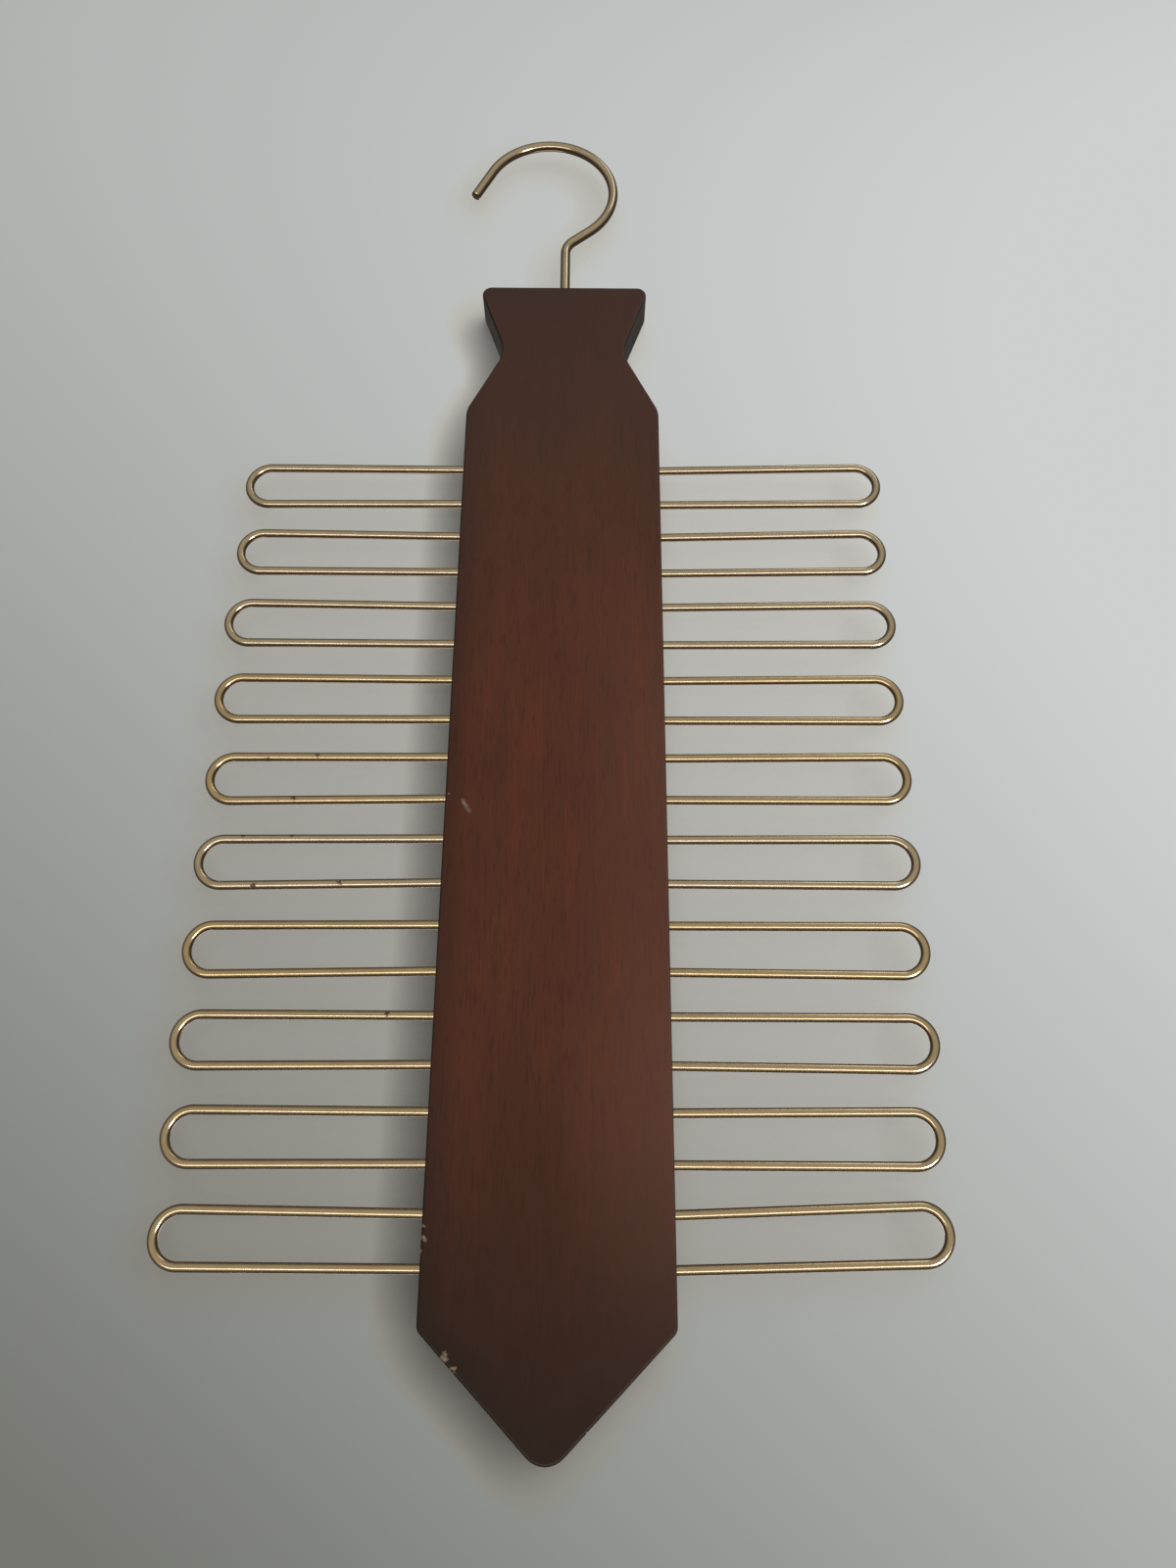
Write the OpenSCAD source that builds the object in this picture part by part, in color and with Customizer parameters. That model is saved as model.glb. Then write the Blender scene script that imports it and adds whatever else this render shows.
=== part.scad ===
// Tie hanger: a necktie-shaped wooden board with ten wire loops along each edge
// and a wire hook that swivels in a bush in the top of the board.
// The origin is the crown of the hook's bow, on the side that sits on a rail.
// +Z is up, +X is to the right seen from the front, and the front faces -Y.

/* [Board] */
// Thickness of the board
board_t = 14; // [10:0.5:20]
// Length from the top edge to the point, measured before the point is rounded
board_l = 394.8; // [380:0.2:430]
// Width at the shoulders
shoulder_w = 69.5; // [66:0.1:80]
// Width at the hips, where the point begins
hip_w = 70.7; // [66:0.1:84]
// Width of the knot's top edge, measured before its corners are rounded
knot_w = 64.6; // [56:0.2:72]
// Width of the neck below the knot, measured before it is rounded
neck_w = 43.2; // [36:0.2:50]
// Height of the knot, from the top edge to the neck
knot_h = 30.2; // [24:0.2:36]
// Drop from the top edge to the shoulders
shoulder_drop = 56.7; // [50:0.1:62]
// Height of the point, from the hips to its end before rounding
point_h = 35; // [28:0.1:44]
// Rounding of the knot's two corners
knot_r = 3.4; // [1.5:0.1:5]
// Rounding of the inside of the neck
neck_r = 12.4; // [6:0.2:16]
// Rounding of the shoulders
shoulder_r = 10.4; // [4:0.2:20]
// Rounding of the hips
hip_r = 3.3; // [1.5:0.1:8]
// Rounding of the point
point_r = 7.1; // [3:0.1:12]
// Rounding of the arris all round the front and back faces
arris_r = 0.8; // [0.5:0.1:1.4]

/* [Tie arms] */
// Number of arms on each side
levels = 10; // [4:1:10]
// Distance from one arm to the next
pitch = 28; // [24:0.5:30]
// Drop from the top edge to the middle of the first arm
first_drop = 85.3; // [78:0.1:92]
// Diameter of the arm wire
arm_wire = 2.9; // [1.8:0.1:3.4]
// Distance between the two legs of an arm where they enter the board
leg_gap = 14.5; // [10:0.1:18]
// Angle by which each leg opens outwards
leg_flare = 0.3; // [0:0.1:1]
// Reach of the arms from the middle of the board to the outside of the bend
arm_reach = 114.4; // [90:0.2:130]
// Length of leg driven into the board
leg_depth = 18; // [10:0.5:20]

/* [Hook] */
// Diameter of the hook wire
hook_wire = 3.7; // [3:0.1:4.5]
// Radius of the bow, to the middle of the wire
bow_r = 25.6; // [22:0.2:34]
// Straight length of wire between the board and the first bend
shank_l = 23.5; // [15:0.5:40]
// Radius of the first bend, to the middle of the wire
crank_r = 7.8; // [4:0.1:10]
// Angle of the first bend
crank_angle = 50.7; // [40:0.1:65]
// Straight length between the first bend and the bow
crank_l = 8.3; // [2:0.1:14]
// Angle round which the bow is bent
bow_angle = 204; // [180:1:225]
// Straight length at the free end
tip_l = 14.7; // [2:0.1:20]

/* [Swivel] */
// Outside diameter of the bush
bush_d = 7; // [6.5:0.1:9]
// Length of the bush
bush_l = 16; // [10:0.5:24]
// Diameter of the head formed on the end of the hook
head_d = 5.6; // [5:0.1:6]
// Height of the head
head_h = 2.5; // [1.5:0.1:4]
// Radial clearance of the hook in the bush
swivel_gap = 0.05; // [0.02:0.01:0.1]
// End clearance of the head below the bush
end_gap = 0.2; // [0.1:0.05:0.4]
// Clearance of the head in its pocket in the wood
pocket_gap = 0.5; // [0.3:0.1:1]

/* [Fits] */
// Glue line round each part that is driven into the wood
glue_gap = 0.02; // [0.01:0.01:0.05]
// Chamfer on the cut ends of the wires
wire_chamfer = 0.3; // [0.1:0.05:0.5]

/* [Hidden] */
$fn = 64;
wood_colour = [0.28, 0.14, 0.09];
brass_colour = [0.76, 0.62, 0.36];
steel_colour = [0.62, 0.62, 0.60];
LEFT = -1;
RIGHT = 1;

// Facets in one rounded corner of the outline, and in the arris
corner_steps = 8;
arris_steps = 4;
// Overlap by which a cutter runs past the face that it opens
past = 1;
// A bend is this much thicker than the straights, which each end just inside it
bend_swell = 0.01;
bend_lap = 0.1;

// How each arm sits as it was pressed in, from the top down: its tilt in degrees, tip
// upwards, and how far it stands out beyond arm_reach
left_set = [
    [-0.1, -1.3], [0.4, -1.2], [0.4, -0.1], [0, -0.1], [-0.6, -0.6],
    [-0.8, -0.4], [-0.8, -0.3], [-0.3, -0.1], [-0.1, -1], [0.4, -1.2]
];
right_set = [
    [1.2, -0.1], [1.4, -0.4], [0.9, 0.5], [0.6, 0.6], [0.5, 0.7],
    [0.2, 0.9], [-0.1, 1.2], [-0.2, 1.3], [0.3, 0.2], [2, 0.2]
];

// Route of the hook, from the shank to the free end. Each bend turns about its own centre.
function heading(a) = [cos(a), sin(a)];
function left_of(a) = [-sin(a), cos(a)];
crank_end_angle = 90 - crank_angle;
bow_end_angle = crank_end_angle + bow_angle;
crank_from = [0, shank_l];
crank_c = crank_from + [crank_r, 0];
crank_to = crank_c + crank_r * left_of(crank_end_angle);
bow_from = crank_to + crank_l * heading(crank_end_angle);
bow_c = bow_from + bow_r * left_of(crank_end_angle);
bow_to = bow_c - bow_r * left_of(bow_end_angle);

// The rail seat is the lowest point of the crown, inside the bow
seat = bow_c + [0, bow_r - hook_wire / 2];
board_x = -seat[0];
board_top = -seat[1];

function arm_z(level) = board_top - first_drop - (level - 1) * pitch;
function half_width(z) =
    let (drop = board_top - z, run = board_l - point_h - shoulder_drop)
    (shoulder_w + (hip_w - shoulder_w) * (drop - shoulder_drop) / run) / 2;

// Board outline as [half width, drop from the top edge, corner radius], down the right side.
// A negative radius rounds an inside corner.
right_corners = [
    [knot_w / 2, 0, knot_r],
    [neck_w / 2, knot_h, -neck_r],
    [shoulder_w / 2, shoulder_drop, shoulder_r],
    [hip_w / 2, board_l - point_h, hip_r]
];
outline_corners = concat(
    right_corners,
    [[0, board_l, point_r]],
    [for (i = [len(right_corners) - 1 : -1 : 0])
        [-right_corners[i][0], right_corners[i][1], right_corners[i][2]]]
);

function point_of(c) = [c[0], -c[1]];
function unit(v) = v / norm(v);
function cross_of(a, b) = a[0] * b[1] - a[1] * b[0];
// Where two lines meet, each given by a point and a direction
function meet(p, u, q, v) = p + u * cross_of(q - p, v) / cross_of(u, v);

// The corner between the sides that come from a and go to c, moved inwards by inset
function inset_corner(a, b, c, inset) =
    let (
        u = unit(b - a),
        v = unit(c - b),
        nu = [u[1], -u[0]],
        nv = [v[1], -v[0]]
    )
    meet(b + nu * inset, u, b + nv * inset, v);

// Points of the rounded corner at b. r is its radius, and is negative on an inside corner.
function rounded(a, b, c, r) =
    let (
        u = unit(b - a),
        v = unit(c - b),
        turn = acos(u * v),
        from = b - u * abs(r) * tan(turn / 2),
        side = [u[1], -u[0]] * r,
        start = atan2(-side[1], -side[0]),
        way = r > 0 ? -1 : 1
    )
    [for (k = [0 : corner_steps])
        from + side + abs(r) * heading(start + way * turn * k / corner_steps)];

// The whole outline, moved inwards by inset. Outside corners tighten and inside ones open.
function outline(inset) =
    let (
        n = len(outline_corners),
        sharp = [for (i = [0 : n - 1])
            inset_corner(
                point_of(outline_corners[(i + n - 1) % n]),
                point_of(outline_corners[i]),
                point_of(outline_corners[(i + 1) % n]),
                inset
            )]
    )
    [for (i = [0 : n - 1])
        each rounded(
            sharp[(i + n - 1) % n],
            sharp[i],
            sharp[(i + 1) % n],
            outline_corners[i][2] - inset
        )];

// Cross-section of the edge as [inset, y], from the front face to the back face
function edge_section() =
    let (y0 = board_t / 2 - arris_r)
    concat(
        [for (k = [0 : arris_steps])
            [arris_r * (1 - sin(90 * k / arris_steps)), -y0 - arris_r * cos(90 * k / arris_steps)]],
        [for (k = [arris_steps : -1 : 0])
            [arris_r * (1 - sin(90 * k / arris_steps)), y0 + arris_r * cos(90 * k / arris_steps)]]
    );

// The solid board, with its arrises rounded, before it is drilled
module board_blank() {
    rings = [for (s = edge_section()) [for (p = outline(s[0])) [p[0], s[1], p[1]]]];
    m = len(rings[0]);
    last = len(rings) - 1;
    front_hub = (last + 1) * m;
    back_hub = front_hub + 1;
    hubs = [[0, -board_t / 2, -knot_h], [0, board_t / 2, -knot_h]];
    walls = [for (r = [0 : last - 1], i = [0 : m - 1])
        let (a = r * m + i, b = r * m + (i + 1) % m)
        each [[a, a + m, b], [b, a + m, b + m]]];
    front = [for (i = [0 : m - 1]) [front_hub, i, (i + 1) % m]];
    back = [for (i = [0 : m - 1]) [back_hub, last * m + (i + 1) % m, last * m + i]];
    polyhedron(points = concat([for (r = rings) each r], hubs), faces = concat(walls, front, back));
}

// A straight wire from the origin along +X, with a chamfer on its far end if it is cut there
module wire(d, l, cut = false) {
    c = cut ? wire_chamfer : 0;
    rotate([0, 90, 0]) {
        cylinder(d = d, h = l - c);
        if (cut)
            translate([0, 0, l - c]) cylinder(d1 = d, d2 = d - 2 * c, h = c);
    }
}

// A bend of wire about the origin in the XZ plane, from angle a0 through angle a
module bend(d, r, a0, a) {
    rotate([90, 0, 0])
        rotate([0, 0, a0])
            rotate_extrude(angle = a) translate([r, 0]) circle(d = d + bend_swell);
}

function arm_set(level, side) = side == LEFT ? left_set[level - 1] : right_set[level - 1];

// The arm's own frame: its origin is midway between the legs where they enter the board
module at_arm(level, side) {
    translate([board_x + side * half_width(arm_z(level)), 0, arm_z(level)])
        mirror([side == LEFT ? 1 : 0, 0, 0])
            rotate([0, -arm_set(level, side)[0], 0])
                children();
}

// The bend's radius and centre follow from the legs: both legs leave it as tangents
function arm_out(level, side) =
    arm_reach + arm_set(level, side)[1] - half_width(arm_z(level)) - arm_wire / 2;
function arm_bend_r(out) =
    (leg_gap / 2 + out * tan(leg_flare)) * cos(leg_flare) / (1 + sin(leg_flare));

// The line of one leg, from its mouth in the board: up is 1 for the top leg and -1 for the other
module at_leg(up) {
    translate([0, 0, up * leg_gap / 2]) rotate([0, -up * leg_flare, 0]) children();
}

module arm(level, side) {
    out = arm_out(level, side);
    r = arm_bend_r(out);
    leg_l = (out - r - r * sin(leg_flare)) / cos(leg_flare);
    color(brass_colour)
        at_arm(level, side) {
            for (up = [-1, 1])
                at_leg(up) {
                    translate([leg_l + bend_lap, 0, 0])
                        mirror([1, 0, 0]) wire(arm_wire, leg_l + bend_lap + leg_depth, cut = true);
                }
            translate([out - r, 0, 0])
                bend(arm_wire, r, -90 - leg_flare, 180 + 2 * leg_flare);
        }
}

// The two holes that an arm is driven into
module arm_holes(level, side) {
    at_arm(level, side)
        for (up = [-1, 1])
            at_leg(up)
                translate([-leg_depth - wire_chamfer, 0, 0])
                    rotate([0, 90, 0])
                        cylinder(d = arm_wire + 2 * glue_gap, h = leg_depth + wire_chamfer + past);
}

module board() {
    color(wood_colour)
        difference() {
            translate([board_x, 0, board_top]) board_blank();
            for (level = [1 : levels], side = [LEFT, RIGHT])
                arm_holes(level, side);
            translate([board_x, 0, board_top - bush_l])
                cylinder(d = bush_d + 2 * glue_gap, h = bush_l + past);
            translate([board_x, 0, board_top - bush_l - end_gap - head_h - pocket_gap])
                cylinder(d = head_d + 2 * pocket_gap, h = end_gap + head_h + pocket_gap + past);
        }
}

module hook_bush() {
    color(steel_colour)
        translate([board_x, 0, board_top - bush_l])
            difference() {
                cylinder(d = bush_d, h = bush_l);
                translate([0, 0, -past])
                    cylinder(d = hook_wire + 2 * swivel_gap, h = bush_l + 2 * past);
            }
}

// The formed head under the bush, with its lower edge chamfered
module hook_head() {
    translate([0, 0, wire_chamfer])
        cylinder(d = head_d, h = head_h - wire_chamfer);
    cylinder(d1 = head_d - 2 * wire_chamfer, d2 = head_d, h = wire_chamfer);
}

module hook() {
    head_top = -bush_l - end_gap;
    color(brass_colour)
        translate([board_x, 0, board_top]) {
            translate([0, 0, head_top - head_h]) hook_head();
            translate([0, 0, head_top]) cylinder(d = hook_wire, h = shank_l + bend_lap - head_top);
            translate([crank_c[0], 0, crank_c[1]])
                bend(hook_wire, crank_r, crank_end_angle + 90, crank_angle);
            translate([crank_to[0], 0, crank_to[1]])
                rotate([0, -crank_end_angle, 0])
                    translate([-bend_lap, 0, 0]) wire(hook_wire, crank_l + 2 * bend_lap);
            translate([bow_c[0], 0, bow_c[1]])
                bend(hook_wire, bow_r, crank_end_angle - 90, bow_angle);
            translate([bow_to[0], 0, bow_to[1]])
                rotate([0, -bow_end_angle, 0])
                    translate([-bend_lap, 0, 0]) wire(hook_wire, tip_l + bend_lap, cut = true);
        }
}

board();
hook();
hook_bush();
for (i = [1 : levels]) {
    arm(i, LEFT);
    arm(i, RIGHT);
}
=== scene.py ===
# Looks of the tie hanger: stained board, brass wires, steel bush, camera, backdrop and light.
# Everything is in metres, in the part's own frame: +Z up as it hangs, front towards -Y.
# scene.py adds no shapes to the part. Wear, grain and the painted light and shade are procedural, in
# the part's coordinates.

import math
import bpy
from mathutils import Euler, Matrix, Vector


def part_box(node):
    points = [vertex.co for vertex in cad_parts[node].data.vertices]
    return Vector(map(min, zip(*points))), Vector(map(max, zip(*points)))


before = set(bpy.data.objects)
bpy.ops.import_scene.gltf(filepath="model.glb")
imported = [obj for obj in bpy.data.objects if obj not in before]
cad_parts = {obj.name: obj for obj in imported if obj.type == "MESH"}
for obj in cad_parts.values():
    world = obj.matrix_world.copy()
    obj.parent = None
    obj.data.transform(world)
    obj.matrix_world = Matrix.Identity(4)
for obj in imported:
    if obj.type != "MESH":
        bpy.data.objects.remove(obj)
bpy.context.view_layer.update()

MM = 0.001
BOARD_LO, BOARD_HI = (Vector(c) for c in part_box("board"))
MID_X = (BOARD_LO.x + BOARD_HI.x) / 2
TOP = BOARD_HI.z
BACK = BOARD_HI.y
MIDDLE = (MID_X, 0, TOP - 0.2)
WHITE = (1, 1, 1, 1)


# ---------- node helpers ----------

class Tree:
    """A material or world node tree, built by short calls."""

    def __init__(self, owner):
        owner.use_nodes = True
        self.t = owner.node_tree
        self.t.nodes.clear()

    def fill(self, socket, value):
        """Link a node's output to the socket, or set the socket to a plain value."""
        if isinstance(value, bpy.types.NodeSocket):
            self.t.links.new(value, socket)
        else:
            socket.default_value = value

    def add(self, kind, inputs=None, **props):
        n = self.t.nodes.new(kind)
        for k, v in props.items():
            setattr(n, k, v)
        for k, v in (inputs or {}).items():
            self.fill(n.inputs[k], v)
        return n

    def math(self, op, a, b=0.0, c=0.0):
        return self.add("ShaderNodeMath", {0: a, 1: b, 2: c}, operation=op).outputs[0]

    def vec(self, op, a, b):
        n = self.add("ShaderNodeVectorMath", {0: a, 1: b}, operation=op)
        return n.outputs["Value" if op == "DISTANCE" else "Vector"]

    def noise(self, where, scale, detail=2.0, rough=0.5, dist=0.0):
        return self.add("ShaderNodeTexNoise",
                        {"Vector": where, "Scale": scale, "Detail": detail, "Roughness": rough,
                         "Distortion": dist}).outputs["Fac"]

    def jitter(self, where, scale, detail, reach):
        """where, moved about by a noise, so that spots drawn there get ragged edges."""
        shift = self.add("ShaderNodeTexNoise",
                         {"Vector": where, "Scale": scale, "Detail": detail}).outputs["Color"]
        shift = self.vec("SUBTRACT", shift, (0.5, 0.5, 0.5))
        return self.vec("ADD", where, self.vec("MULTIPLY", shift, reach))

    def remap(self, value, a0, a1, b0=0.0, b1=1.0, smooth=True):
        """b0 at a0 and b1 at a1, held level beyond them."""
        return self.add("ShaderNodeMapRange",
                        {"Value": value, "From Min": a0, "From Max": a1, "To Min": b0, "To Max": b1},
                        interpolation_type="SMOOTHSTEP" if smooth else "LINEAR",
                        clamp=True).outputs["Result"]

    def mix(self, fac, a, b, blend="MIX"):
        """a where fac is 0 and b where it is 1. Sockets 6 and 7 are the node's two colours."""
        n = self.add("ShaderNodeMix", data_type="RGBA", blend_type=blend)
        for i, v in ((0, fac), (6, a), (7, b)):
            self.fill(n.inputs[i], v)
        return n.outputs[2]

    def product(self, *masks):
        out = masks[0]
        for m in masks[1:]:
            out = self.math("MULTIPLY", out, m)
        return out

    def any_of(self, masks):
        out = masks[0]
        for m in masks[1:]:
            out = self.math("MAXIMUM", out, m)
        return out

    def spot(self, where, centre_mm, radius_mm):
        """A soft-edged mask that is 1 within a radius of a point."""
        d = self.vec("DISTANCE", where, tuple(c * MM for c in centre_mm))
        return self.remap(d, 0.7 * radius_mm * MM, 1.3 * radius_mm * MM, 1, 0)

    def split(self, vector):
        return self.add("ShaderNodeSeparateXYZ", {0: vector}).outputs

    def surface(self, shader):
        self.add("ShaderNodeOutputMaterial", {0: shader.outputs[0]})


def rgb(r, g, b):
    """A colour given in sRGB, 0 to 255."""
    def lin(v):
        v /= 255
        return v / 12.92 if v <= 0.04045 else ((v + 0.055) / 1.055) ** 2.4
    return (lin(r), lin(g), lin(b), 1)


def material(name):
    m = bpy.data.materials.new(name)
    return m, Tree(m)


# ---------- the board: stained, lacquered wood ----------

# In mm from the middle of the board's top edge, and radii. The front face is at y = -7.
CHIPS = [((-34.7, -6.5, -333.6), 0.9), ((-34.8, -6.5, -336.4), 1.0), ((-35.0, -6.3, -339.4), 0.7),
         ((-27.3, -6.8, -366.3), 1.1), ((-24.9, -6.7, -369.2), 0.8), ((-34.0, -6.8, -205.8), 0.5)]
NICK = ((11.1, -6.5, -383.2), 0.6)
SCUFF_X, SCUFF_Z = -28.3 * MM, -209.3 * MM      # its middle, on the front face
SCUFF_RUN, SCUFF_RISE = 0.54, -0.84             # its direction
SIDE_EDGE = 35.2 * MM                           # the hip's edge, out from the middle
POINT_DROP = 394.8 * MM                         # the point, down from the top edge
POINT_Z, POINT_X = 0.711, 0.704                 # the point's slanted edges: their normal


def stained_wood():
    m, t = material("stained_wood")
    coords = t.add("ShaderNodeTexCoord")
    local = t.vec("SUBTRACT", coords.outputs["Object"], (MID_X, 0, TOP))
    x, y, z = t.split(local)
    drop = t.math("MULTIPLY", z, -1)

    # Fine grain and pores along the board, broader streaks and blotches under them
    def along_grain(stretch, *settings):
        return t.noise(t.vec("MULTIPLY", local, (1, 1, stretch)), *settings)

    fine = along_grain(0.03, 2600, 3, 0.6)
    streaks = along_grain(0.05, 260, 3, 0.55, 0.3)
    blotch = along_grain(0.6, 45, 3, 0.5)
    pores = t.remap(along_grain(0.12, 1500, 2, 0.5), 0.56, 0.66)

    base = t.mix(t.remap(streaks, 0.3, 0.7), rgb(76, 41, 27), rgb(84, 43, 26))
    base = t.mix(t.remap(blotch, 0.35, 0.7, 0, 0.4), base, rgb(62, 35, 25))
    base = t.mix(t.remap(fine, 0.35, 0.7, 0, 0.3), base, rgb(52, 28, 18))
    base = t.mix(t.math("MULTIPLY", pores, 0.3), base, rgb(40, 22, 15))

    # The stain is sprayed darker towards the edges; painted shade on top of it makes this darkest at
    # the point and down the left side, away from the light
    out = t.math("ABSOLUTE", x)
    side = t.math("SUBTRACT", SIDE_EDGE, out)
    point = t.math("SUBTRACT", t.math("MULTIPLY", t.math("SUBTRACT", POINT_DROP, drop), POINT_Z),
                   t.math("MULTIPLY", out, POINT_X))
    inset = t.math("MINIMUM", t.math("MINIMUM", side, point), drop)
    wobble = t.math("MULTIPLY_ADD", blotch, 6 * MM, -3 * MM)
    stain_and_painted_shade = t.product(t.remap(t.math("ADD", inset, wobble), 0, 11 * MM, 1, 0),
                      t.remap(drop, 330 * MM, 370 * MM, 0.45, 0.8),
                      t.remap(x, -10 * MM, 20 * MM, 1, 0.25))
    base = t.mix(stain_and_painted_shade, base, rgb(30, 22, 19))

    # Painted sheen: the right side, towards the light, is painted lighter and greyer
    painted_sheen = t.product(t.remap(x, 0, 34 * MM, smooth=False),
                     t.remap(drop, 80 * MM, 200 * MM),
                     t.remap(drop, 240 * MM, 360 * MM, 0.24, 0.65))
    base = t.mix(painted_sheen, base, rgb(104, 70, 58))

    # Both ends are painted darker: partly a deeper stain, partly painted shade where the light falls
    # off towards them
    base = t.mix(t.remap(drop, 0, 190 * MM, 0.8, 0), base, rgb(54, 39, 32))
    base = t.mix(t.remap(drop, 270 * MM, 394 * MM, 0, 0.95), base, rgb(35, 21, 12))

    # Edge faces and arrises are darker, and the arrises duller
    facing = t.math("ABSOLUTE", t.split(coords.outputs["Normal"])["Y"])
    face = t.remap(facing, 0.55, 0.95)
    arris = t.product(t.remap(facing, 0.05, 0.3), t.remap(facing, 0.8, 0.98, 1, 0))
    base = t.mix(face, rgb(34, 27, 25), base)

    # Small chips down to pale wood along the left edge, and one nick by the point
    ragged = t.jitter(local, 600, 3, (2.2 * MM, 2.2 * MM, 5.0 * MM))
    chip = t.any_of([t.spot(ragged, *c) for c in CHIPS])
    base = t.mix(t.math("MULTIPLY", chip, 0.7), base, rgb(138, 116, 94))
    nick = t.spot(ragged, *NICK)
    base = t.mix(t.math("MULTIPLY", nick, 0.7), base, rgb(120, 112, 104))

    # A faint grey scuff on the front by the left edge, between the fifth and sixth arms
    dx, dz = t.math("SUBTRACT", x, SCUFF_X), t.math("SUBTRACT", z, SCUFF_Z)
    along = t.math("ADD", t.math("MULTIPLY", dx, SCUFF_RUN), t.math("MULTIPLY", dz, SCUFF_RISE))
    across = t.math("ADD", t.math("MULTIPLY", dx, -SCUFF_RISE), t.math("MULTIPLY", dz, SCUFF_RUN))
    scuff = t.product(t.remap(t.math("ABSOLUTE", along), 1.2 * MM, 3.4 * MM, 1, 0),
                      t.remap(t.math("ABSOLUTE", across), 0.25 * MM, 0.9 * MM, 1, 0),
                      t.remap(t.noise(local, 1500, 2), 0.35, 0.65, 0.1, 0.45),
                      t.math("LESS_THAN", y, 0), face)
    base = t.mix(scuff, base, rgb(150, 138, 130))

    rough = t.remap(t.noise(local, 120, 3), 0.3, 0.7, 0.3, 0.37)
    rough = t.math("ADD", rough, t.math("MULTIPLY", t.math("MAXIMUM", chip, arris), 0.35))
    height = t.math("MULTIPLY_ADD", chip, -1.5, t.math("MULTIPLY_ADD", fine, 0.5, streaks))
    bump = t.add("ShaderNodeBump", {"Height": height, "Strength": 0.12, "Distance": 0.25 * MM})
    t.surface(t.add("ShaderNodeBsdfPrincipled",
                    {"Base Color": base, "Roughness": rough, "Normal": bump.outputs[0],
                     "Specular IOR Level": 0.2}))
    return m


# ---------- brass-plated wire ----------

# Brown spots on the fronts of the wires: x and z, and the y and radius they share, in mm
SPECKS = [(-87.0, -270.3), (-71.1, -268.5), (-77.3, -283.3), (-92.0, -296.0), (-76.8, -295.9),
          (-87.2, -312.4), (-60.3, -311.3), (-42.8, -352.1), (104.2, -200.9)]
SPECK_Y, SPECK_R = -0.8, 1.0


def brass_wire(name, tone, rough):
    """tone is the clean metal's colour, and rough its roughness."""
    m, t = material(name)
    coords = t.add("ShaderNodeTexCoord")
    pos = coords.outputs["Object"]
    cloud = t.noise(pos, 130, 3, 0.6)
    base = t.mix(t.remap(cloud, 0.35, 0.75, 0, 0.2), tone, rgb(150, 112, 74))

    # Painted shade and dark reflection: the wire's flanks, turned away from front and back, are
    # painted a darker brown
    painted_flank_shade = t.remap(t.math("ABSOLUTE", t.split(coords.outputs["Normal"])["Y"]), 0.9, 0.35)
    base = t.mix(t.math("MULTIPLY", painted_flank_shade, 0.75), base, rgb(112, 80, 52))

    # Brown spots where the plating has gone
    ragged = t.jitter(pos, 1400, 2, (3 * MM, 0.8 * MM, 0.8 * MM))
    rust = t.any_of([t.spot(ragged, (px, SPECK_Y, pz), SPECK_R) for px, pz in SPECKS])
    base = t.mix(t.math("MULTIPLY", rust, 0.9), base, rgb(74, 46, 30))

    roughness = t.math("ADD", t.remap(cloud, 0.3, 0.7, rough - 0.02, rough + 0.04),
                       t.math("MULTIPLY", rust, 0.3))
    metal = t.math("SUBTRACT", 1, t.math("MULTIPLY", rust, 0.3))
    t.surface(t.add("ShaderNodeBsdfPrincipled",
                    {"Base Color": base, "Metallic": metal, "Roughness": roughness}))
    return m


def steel_bush():
    m, t = material("steel_bush")
    pos = t.add("ShaderNodeTexCoord").outputs["Object"]
    turned = t.noise(t.vec("MULTIPLY", pos, (1, 1, 12)), 900, 2, 0.5)
    base = t.mix(t.remap(turned, 0.3, 0.7), rgb(176, 174, 168), rgb(198, 197, 192))
    t.surface(t.add("ShaderNodeBsdfPrincipled",
                    {"Base Color": base, "Metallic": 1.0,
                     "Roughness": t.remap(turned, 0.3, 0.7, 0.3, 0.42)}))
    return m


def dress(node, mat, angle=35):
    """Give a CAD node its material, and smooth shading where it bends less than angle."""
    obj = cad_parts[node]
    obj.data.materials.clear()
    obj.data.materials.append(mat)
    obj.data.polygons.foreach_set("use_smooth", [True] * len(obj.data.polygons))
    obj.data.set_sharp_from_angle(angle=math.radians(angle))
    obj.data.update()


dress("board", stained_wood(), 30)
dress("hook_bush", steel_bush())
pale = brass_wire("brass_pale", rgb(212, 194, 164), 0.2)
gold = brass_wire("brass_gold", rgb(214, 190, 148), 0.2)
plain = brass_wire("brass_plain", rgb(212, 190, 154), 0.2)
dress("hook", brass_wire("brass_hook", rgb(214, 196, 166), 0.15))
# One tone for each pair of arms, from the top
for i, tone in enumerate([pale, pale, pale, gold, gold, pale, gold, plain, plain, plain], 1):
    dress("left_arm_%d" % i, tone)
    dress("right_arm_%d" % i, tone)


# ---------- camera, fitted to the photograph ----------

CAM_AT = (MID_X + 9.93 * MM, -355.31 * MM, TOP - 335.91 * MM)
CAM_TURN = (111.062, -0.338, -0.161)    # degrees
SENSOR = 24                             # mm, upright
FOCAL = 1200 / 1600                     # focal length over image height

cam_data = bpy.data.cameras.new("camera")
cam_data.sensor_fit = "VERTICAL"
cam_data.sensor_height = SENSOR
cam_data.lens = SENSOR * FOCAL
cam_data.clip_start = 0.01
cam = bpy.data.objects.new("camera", cam_data)
cam.location = CAM_AT
cam.rotation_euler = Euler([math.radians(a) for a in CAM_TURN])
bpy.context.scene.collection.objects.link(cam)
bpy.context.scene.camera = cam


# ---------- table and backdrop ----------

BACKDROP_Y = 0.15
TABLE_DARK, TABLE_PALE = rgb(118, 119, 113), rgb(205, 208, 207)


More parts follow.
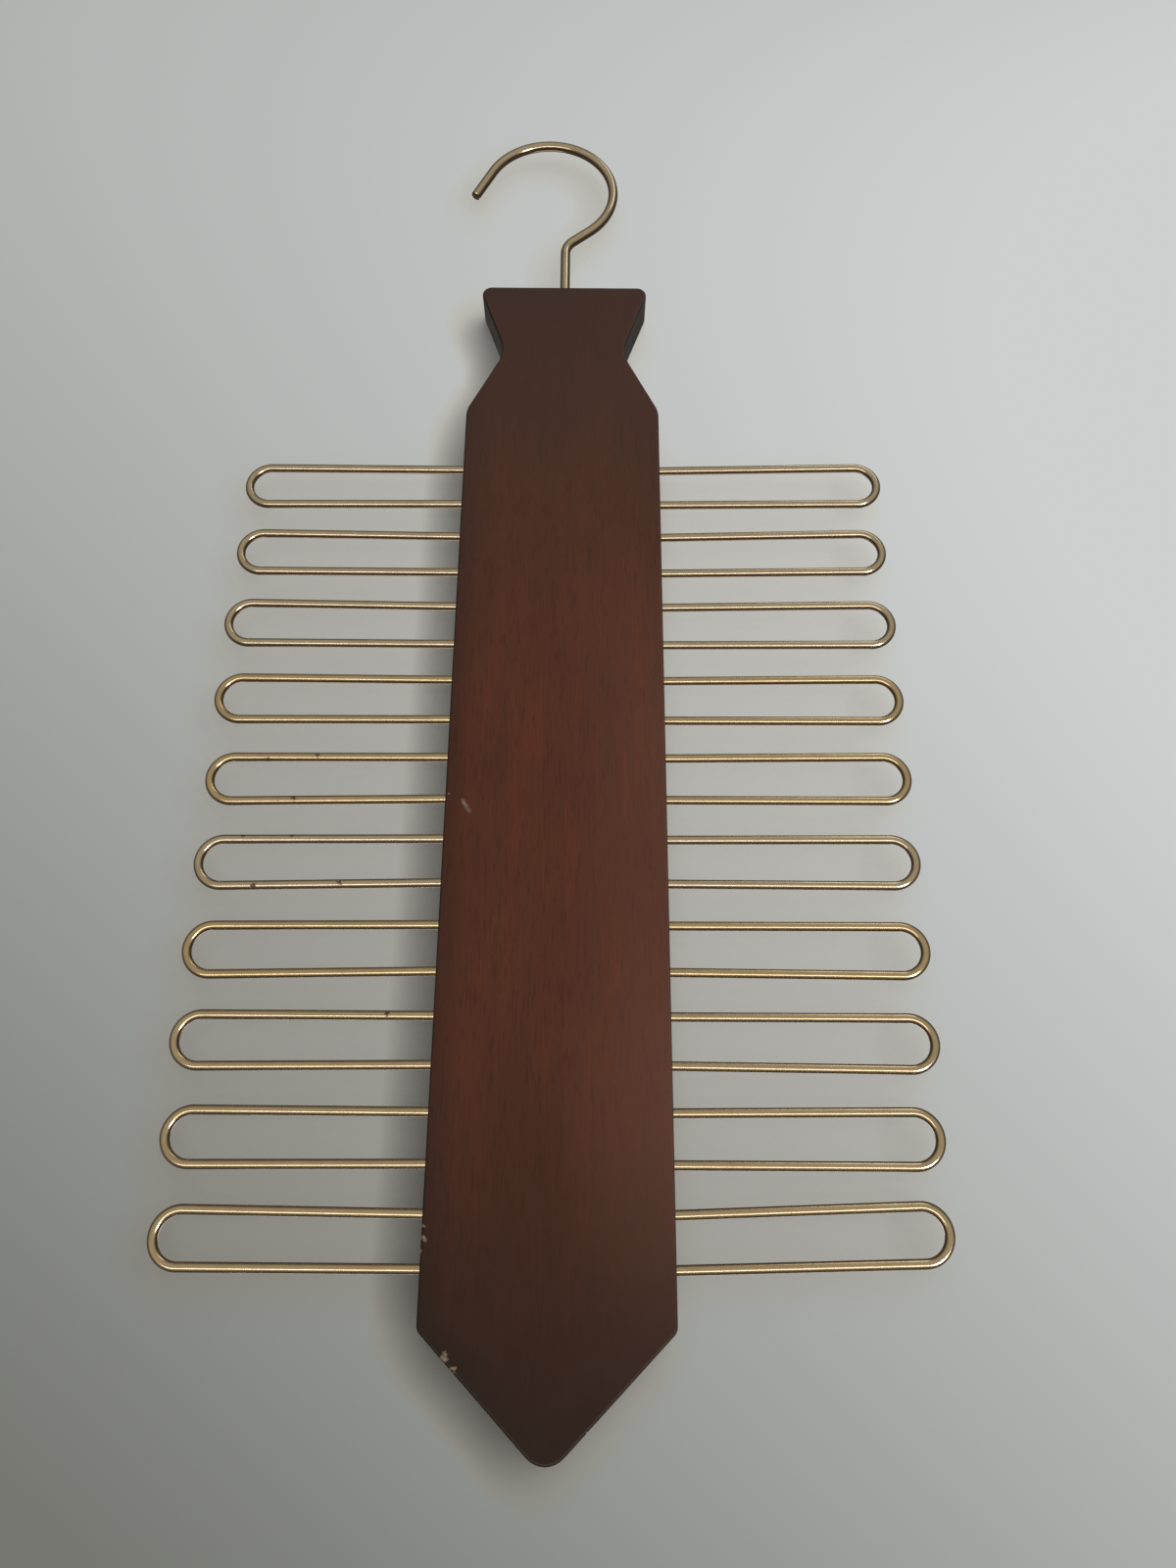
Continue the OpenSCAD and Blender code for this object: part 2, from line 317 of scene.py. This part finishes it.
def sheet(name, y, half):
    """A square upright sheet behind the part, facing -Y."""
    mesh = bpy.data.meshes.new(name)
    mesh.from_pydata([(-half, y, -half), (half, y, -half), (half, y, half), (-half, y, half)],
                     [], [(0, 1, 2, 3)])
    obj = bpy.data.objects.new(name, mesh)
    bpy.context.scene.collection.objects.link(obj)
    return obj


def backdrop_material():
    """Pale table, with painted light and shade on it: lighter to the upper right. Only the camera
    sees it, and from behind it is clear."""
    m, t = material("backdrop")
    pos = t.add("ShaderNodeTexCoord").outputs["Object"]
    px, _, pz = t.split(pos)
    x = t.remap(px, -0.5, 0.5, -0.5, 0.5, smooth=False)
    z = t.remap(pz, -0.7, 0.4, -0.7, 0.4, smooth=False)
    # Painted light and shade, as brightness 0 to 255: 190 + 68x + 31z - 110xz - 120z^2, a slope to
    # the right and a fall towards the bottom
    level = t.math("MULTIPLY_ADD", x, 68.0, 190.0)
    level = t.math("MULTIPLY_ADD", z, 31.0, level)
    level = t.math("MULTIPLY_ADD", t.math("MULTIPLY", x, z), -110.0, level)
    level = t.math("MULTIPLY_ADD", t.math("MULTIPLY", z, z), -120.0, level)
    # From here on 0 is as dark as TABLE_DARK and 1 as pale as TABLE_PALE
    level = t.remap(level, 118.0, 206.0, smooth=False)
    # Past the photograph's edges it evens out
    far = t.remap(t.vec("DISTANCE", pos, (0, BACKDROP_Y, -0.15)), 0.6, 1.3)
    level = t.math("MULTIPLY_ADD", far, t.math("SUBTRACT", 0.7, level), level)
    glow = t.add("ShaderNodeEmission",
                 {"Color": t.mix(t.math("POWER", level, 1.25), TABLE_DARK, TABLE_PALE)})
    clear = t.add("ShaderNodeBsdfTransparent")
    behind = t.add("ShaderNodeNewGeometry").outputs["Backfacing"]
    seen = t.math("MULTIPLY", t.add("ShaderNodeLightPath").outputs["Is Camera Ray"],
                  t.math("SUBTRACT", 1, behind))
    t.surface(t.add("ShaderNodeMixShader", {0: seen, 1: clear.outputs[0], 2: glow.outputs[0]}))
    return m


def contact_material():
    """A clear layer that darkens what is seen through it wherever the part stands close in
    front of it, more on the side away from the window. From behind it does nothing."""
    m, t = material("contact_shadow")
    lean = Vector((0.7, -0.62, 0.25)).normalized()
    towards = t.add("ShaderNodeCombineXYZ", {0: lean.x, 1: lean.y, 2: lean.z}).outputs[0]
    near = t.add("ShaderNodeAmbientOcclusion", {"Distance": 0.016, "Normal": towards},
                 samples=16).outputs["AO"]
    # Light that has bounced off the brass is warm, so blue is lost first
    warm = t.mix(t.remap(near, 0.99, 0.88), WHITE, (0.99, 0.94, 0.88, 1))
    dark = t.math("POWER", t.remap(near, 0, 0.88, smooth=False), 1.25)
    warm = t.mix(1.0, warm, dark, "MULTIPLY")
    behind = t.add("ShaderNodeNewGeometry").outputs["Backfacing"]
    t.surface(t.add("ShaderNodeBsdfTransparent", {"Color": t.mix(behind, warm, WHITE)}))
    return m


backdrop = sheet("backdrop", BACKDROP_Y, 40)
backdrop.data.materials.append(backdrop_material())

table = sheet("table", BACK + 0.3 * MM, 1.2)
table.data.materials.append(contact_material())
table.visible_diffuse = False
table.visible_glossy = False
table.visible_transmission = False
table.visible_shadow = False


# ---------- light ----------

def softbox(name, at, aim, size, watts, mirrored=True):
    """A soft rectangular lamp. One that isn't mirrored lights surfaces without a highlight."""
    data = bpy.data.lights.new(name, "AREA")
    data.shape = "RECTANGLE"
    data.size, data.size_y = size
    data.energy = watts
    obj = bpy.data.objects.new(name, data)
    obj.location = at
    obj.rotation_euler = (Vector(aim) - Vector(at)).to_track_quat("-Z", "Y").to_euler()
    obj.visible_glossy = mirrored
    bpy.context.scene.collection.objects.link(obj)


def room():
    """The world: even air, what metal and lacquer mirror, and what the camera sees past the
    backdrop."""
    world = bpy.data.worlds.new("room")
    bpy.context.scene.world = world
    w = Tree(world)
    air = w.add("ShaderNodeBackground", {"Color": rgb(205, 208, 208), "Strength": 0.6})
    # The mirrored room is dimmer, most of all overhead, underneath and to the sides
    ahead = w.split(w.add("ShaderNodeTexCoord").outputs["Generated"])["Y"]
    strength = w.math("MAXIMUM", w.remap(ahead, 0, -0.9, 0.3, 1.35),
                      w.remap(ahead, 0, 0.9, 0.3, 0.5))
    dim = w.add("ShaderNodeBackground", {"Color": rgb(156, 153, 144), "Strength": strength})
    far = w.add("ShaderNodeBackground", {"Color": rgb(178, 180, 178)})
    path = w.add("ShaderNodeLightPath").outputs
    lit = w.add("ShaderNodeMixShader",
                {0: path["Is Glossy Ray"], 1: air.outputs[0], 2: dim.outputs[0]})
    seen = w.add("ShaderNodeMixShader",
                 {0: path["Is Camera Ray"], 1: lit.outputs[0], 2: far.outputs[0]})
    w.add("ShaderNodeOutputWorld", {0: seen.outputs[0]})


softbox("window", (0.95, -0.95, -1.15), MIDDLE, (0.42, 0.42), 11)
softbox("strip", (0.1, -1.15, -1.2), MIDDLE, (2.2, 0.3), 6.5)
softbox("ceiling", (0.5, -0.9, 1.2), MIDDLE, (1.6, 1.0), 3, mirrored=False)
softbox("door", (0.62, -0.8, 1.2), MIDDLE, (0.35, 1.0), 1.6)
softbox("near", (0.42, -0.45, 0.02), (MID_X, 0, TOP - 0.08), (0.35, 0.35), 1.5, mirrored=False)
softbox("rear", (0.2, 1.2, 0.3), MIDDLE, (1.2, 1.2), 14, mirrored=False)
softbox("rear_strip", (0, 1.3, -0.64), MIDDLE, (0.9, 0.5), 2.6)
room()
bpy.context.scene.view_settings.view_transform = "Standard"
